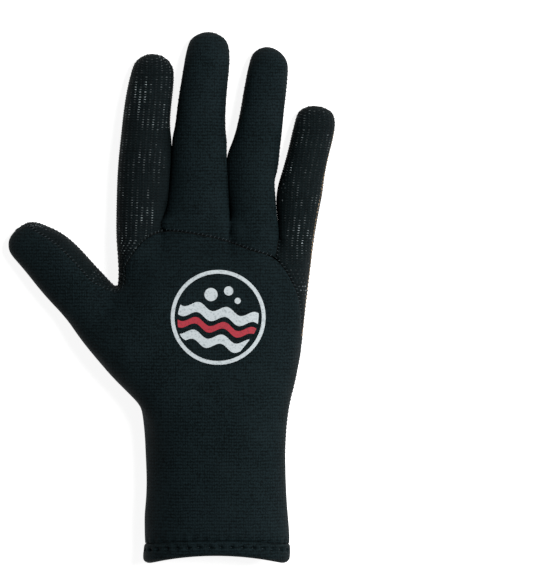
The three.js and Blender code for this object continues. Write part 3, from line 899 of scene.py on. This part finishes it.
hem_skin = BVHTree.FromPolygons(
    [vertex.co for vertex in hem.data.vertices], [p.vertices for p in hem.data.polygons]
)
upper_row, lower_row = [], []
for loop in seam_loops(back.data):
    ring = spaced_along(back.data, loop, hem_pitch / 2, lambda spot: spot.y < hem_line)
    for n, (spot, run, out) in enumerate(ring):
        if n % 2 == 0:
            upper_row.append((spot + Vector((0, upper_row_rise, 0)), run, out))
            continue
        low = spot - Vector((0, hem_row_gap, 0)) + out * from_outside
        place, normal, _, _ = hem_skin.find_nearest(low)
        lower_row.append((place, run, normal))
dimple(back, upper_row)
dimple(hem, upper_row + lower_row)
hem_stitches = []
for spot, run, out in upper_row + lower_row:
    place = spot - out * stitch_down
    place.z = max(place.z, thread_lowest)
    hem_stitches.append((place, run, out, hem_stitch_size))
hem_thread = copies("hem_thread", grain, hem_stitches, thread)
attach(hem_thread, "root")


# Side stitches
# One straight row of tan polyester thread along the little finger's side of the grip cloth,
# from near the fingertip to the wrist's end of the panel. Its short stitches lie end to end.

side_first, side_last = -28.0, 76.0  # in millimetres along Y
side_pitch = 1.75
side_rise = 3.2  # above the widest line of the side
side_near = 0.9  # the widest line is looked for this far to each side of a stitch
side_start = 20  # how far beside the glove the search for its skin begins
side_deepest = 3  # how far inside the widest line the skin may lie
side_lift = 0.06 * mm
side_stitch_size = (1.4 * mm, 0.42 * mm, 0.36 * mm)
palm_points = np.array([vertex.co for vertex in palm_mesh.vertices]) / mm
side_ys = np.arange(side_first, side_last, side_pitch)
widest = []
for y in side_ys:
    near = palm_points[abs(palm_points[:, 1] - y) < side_near]
    widest.append(near[near[:, 0].argmax()])
widest = np.array(widest)
parabola = np.polyfit(side_ys, widest[:, 2], 2)
side_zs = np.polyval(parabola, side_ys) + side_rise
side_row = []
for y, z, x in zip(side_ys, side_zs, widest[:, 0]):
    beside = Vector((x + side_start, y, z)) * mm
    place, normal, _, far = palm_skin.ray_cast(beside, -right)
    if place is not None and far < (side_start + side_deepest) * mm:
        side_row.append((place, normal))
side_stitches = []
for k, (place, normal) in enumerate(side_row):
    before, after = side_row[max(k - 1, 0)][0], side_row[min(k + 1, len(side_row) - 1)][0]
    side_stitches.append((place + normal * side_lift, after - before, normal, side_stitch_size))

# Tan thread: the same spun polyester, undyed, with each stitch a little lighter or darker.
tan_thread, tan_tree, tan_shader = new_material("tan polyester thread")
tan_wear = add_node(tan_tree, "ShaderNodeAttribute", attribute_name="glint_and_tone").outputs["Fac"]
tan_colour = add_node(
    tan_tree,
    "ShaderNodeMix",
    {"Factor": tan_wear, "A": linear("#54452F"), "B": linear("#B79C7B")},
    data_type="RGBA",
)
tan_tree.links.new(tan_colour.outputs[2], tan_shader.inputs["Base Color"])
tan_shader.inputs["Roughness"].default_value = 0.7
tan_shader.inputs["Specular IOR Level"].default_value = 0.3
side_thread = copies("side_thread", grain, side_stitches, tan_thread)
bpy.data.objects.remove(grain)
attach(side_thread, "root")


# Print on the back of the hand
# Screen-printed ink, a hair thick, on the smooth cloth: a plain ring round two white waves, a
# red wave and three bubbles, turned ten degrees to lie along the knuckles.

print_centre = Vector((21.6, -9.5, 0)) * mm
print_turn = math.radians(-10)
ring_radius = 21.5 * mm
ring_width = 1.7 * mm
ink_lift = 0.05 * mm
ring_sides, bubble_sides = 96, 32
above_hand = 60 * mm  # a shape is laid down on the cloth from here
wave_height = 1.5 * mm
wave_length = 13.0 * mm
wave_clear = 1.6 * mm  # between the ends of the waves and the ring
wave_steps, wave_rows = 56, 4
waves = [  # how far above the middle, how thick, and which ink
    ("print_wave_high", 1.5 * mm, 4.6 * mm, "white"),
    ("print_wave_red", -4.6 * mm, 3.0 * mm, "red"),
    ("print_wave_low", -11.0 * mm, 4.2 * mm, "white"),
]
bubbles = [  # how far across, how far above the middle, and their radii
    (-5.0 * mm, 9.6 * mm, 3.0 * mm),
    (2.6 * mm, 12.6 * mm, 2.1 * mm),
    (7.4 * mm, 8.9 * mm, 1.4 * mm),
]


def ink_material(name, thin, full):
    """Plastisol ink: matt, with the knit under it showing as faint thin places."""
    material, tree, shader = new_material(name)
    place = add_node(tree, "ShaderNodeTexCoord").outputs["Object"]
    knit = add_node(
        tree,
        "ShaderNodeTexWave",
        {"Vector": place, "Scale": band_scale(course_pitch), "Distortion": 1.6, "Detail": 1.0,
         "Detail Scale": 0.35},
        bands_direction="Y",
    )
    specks = add_node(
        tree, "ShaderNodeTexNoise", {"Vector": place, "Scale": 1 / (0.9 * mm), "Detail": 3.0}
    )
    cover = add_node(
        tree,
        "ShaderNodeMapRange",
        {"Value": specks.outputs["Fac"], "From Min": 0.3, "From Max": 0.5},
    )
    colour = add_node(
        tree,
        "ShaderNodeMix",
        {"Factor": cover.outputs["Result"], "A": thin, "B": full},
        data_type="RGBA",
    )
    bump = add_node(
        tree,
        "ShaderNodeBump",
        {"Height": knit.outputs["Fac"], "Strength": 0.35, "Distance": 0.1 * mm},
    )
    tree.links.new(colour.outputs[2], shader.inputs["Base Color"])
    tree.links.new(bump.outputs["Normal"], shader.inputs["Normal"])
    shader.inputs["Roughness"].default_value = 0.6
    shader.inputs["Specular IOR Level"].default_value = 0.3
    return material


inks = {
    "white": ink_material("white plastisol ink", linear("#8E979A"), linear("#B2BABD")),
    "red": ink_material("red plastisol ink", linear("#781523"), linear("#9C1D2E")),
}
back_skin = BVHTree.FromPolygons(
    [vertex.co for vertex in back.data.vertices],
    [p.vertices for p in back.data.polygons if p.material_index == outer_face],
)


def lay_on_cloth(piece, name, ink):
    """Turns a flat shape to the print's angle and lays it on the back of the hand."""
    piece.name = name
    piece.data.name = name
    cos, sin = math.cos(print_turn), math.sin(print_turn)
    for vertex in piece.data.vertices:
        x, y, _ = vertex.co
        over = Vector((x * cos - y * sin, x * sin + y * cos, above_hand)) + print_centre
        place, normal, _, _ = back_skin.ray_cast(over, -up)
        vertex.co = place + normal * ink_lift
    piece.data.materials.append(inks[ink])
    select_only(piece)
    bpy.ops.object.shade_smooth()
    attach(piece, "root")


bpy.ops.object.select_all(action="DESELECT")
bpy.ops.mesh.primitive_circle_add(vertices=ring_sides, radius=ring_radius, fill_type="NGON")
bpy.ops.object.mode_set(mode="EDIT")
bpy.ops.mesh.select_all(action="SELECT")
bpy.ops.mesh.inset(thickness=ring_width)
bpy.ops.mesh.delete(type="FACE")
bpy.ops.object.mode_set(mode="OBJECT")
lay_on_cloth(bpy.context.active_object, "print_ring", "white")

inner = ring_radius - ring_width - wave_clear
for name, middle, thick, ink in waves:
    bpy.ops.object.select_all(action="DESELECT")
    bpy.ops.mesh.primitive_grid_add(x_subdivisions=wave_steps, y_subdivisions=wave_rows, size=2)
    band = bpy.context.active_object
    for vertex in band.data.vertices:
        high = middle + vertex.co.y * thick / 2
        x = vertex.co.x * math.sqrt(max(inner ** 2 - high ** 2, 0.0))
        vertex.co.x = x
        vertex.co.y = high + wave_height * math.sin(math.tau * x / wave_length)
    lay_on_cloth(band, name, ink)

for n, (x, y, radius) in enumerate(bubbles):
    bpy.ops.object.select_all(action="DESELECT")
    bpy.ops.mesh.primitive_circle_add(vertices=bubble_sides, radius=radius, fill_type="TRIFAN")
    drop = bpy.context.active_object
    for vertex in drop.data.vertices:
        vertex.co += Vector((x, y, 0))
    lay_on_cloth(drop, f"print_bubble_{n + 1}", "white")


# Floor, camera and lights
# A plain white floor just under the glove, soft light from above and from the right, and a long
# lens straight overhead.

floor_drop = 0.4 * mm  # room for the grip dots under the palm
floor_size = 6
bpy.ops.mesh.primitive_plane_add(size=floor_size, location=(0, 0, -floor_drop))
floor = bpy.context.active_object
floor.name = "floor"

# White paper: flat and matt, and lit from below so that it is pure white round the glove.
floor_paint, _, floor_shader = new_material("white paper floor")
floor_shader.inputs["Base Color"].default_value = linear("#C4C4C4")
floor_shader.inputs["Emission Color"].default_value = linear("#FFFFFF")
floor_shader.inputs["Emission Strength"].default_value = 0.88
floor_shader.inputs["Roughness"].default_value = 0.9
floor.data.materials.append(floor_paint)

photo_height = 572  # pixels
photo_scale = 0.457 * mm  # one pixel of the photograph at the glove
frame_centre = (0.0476, 0.0047)
scale_height = 0.015  # above the floor, where that scale holds
camera_height = 2.5  # above it
sensor = 24
camera_data = bpy.data.cameras.new("camera")
camera = bpy.data.objects.new("camera", camera_data)
bpy.context.scene.collection.objects.link(camera)
camera_data.sensor_fit = "VERTICAL"
camera_data.sensor_height = sensor
camera_data.lens = sensor * camera_height / (photo_height * photo_scale)
camera_data.clip_end = 20
camera.location = (*frame_centre, camera_height + scale_height)
bpy.context.scene.camera = camera


def soft_light(name, place, size, power):
    """A round soft light that is aimed at the middle of the glove."""
    data = bpy.data.lights.new(name, "AREA")
    data.shape = "DISK"
    data.size = size
    data.energy = power
    lamp = bpy.data.objects.new(name, data)
    bpy.context.scene.collection.objects.link(lamp)
    lamp.location = place
    lamp.rotation_euler = Vector(place).to_track_quat("Z", "Y").to_euler()
    lamp.visible_camera = False


soft_light("overhead softbox", (0.65, 0.25, 1.38), 0.6, 23)
soft_light("right softbox", (1.4, 0.3, 0.8), 0.6, 13)
world = bpy.data.worlds.new("studio")
world.use_nodes = True
sky = world.node_tree.nodes["Background"]
sky.inputs["Color"].default_value = (1, 1, 1, 1)
sky.inputs["Strength"].default_value = 0.14
bpy.context.scene.world = world
bpy.context.scene.view_settings.view_transform = "Standard"
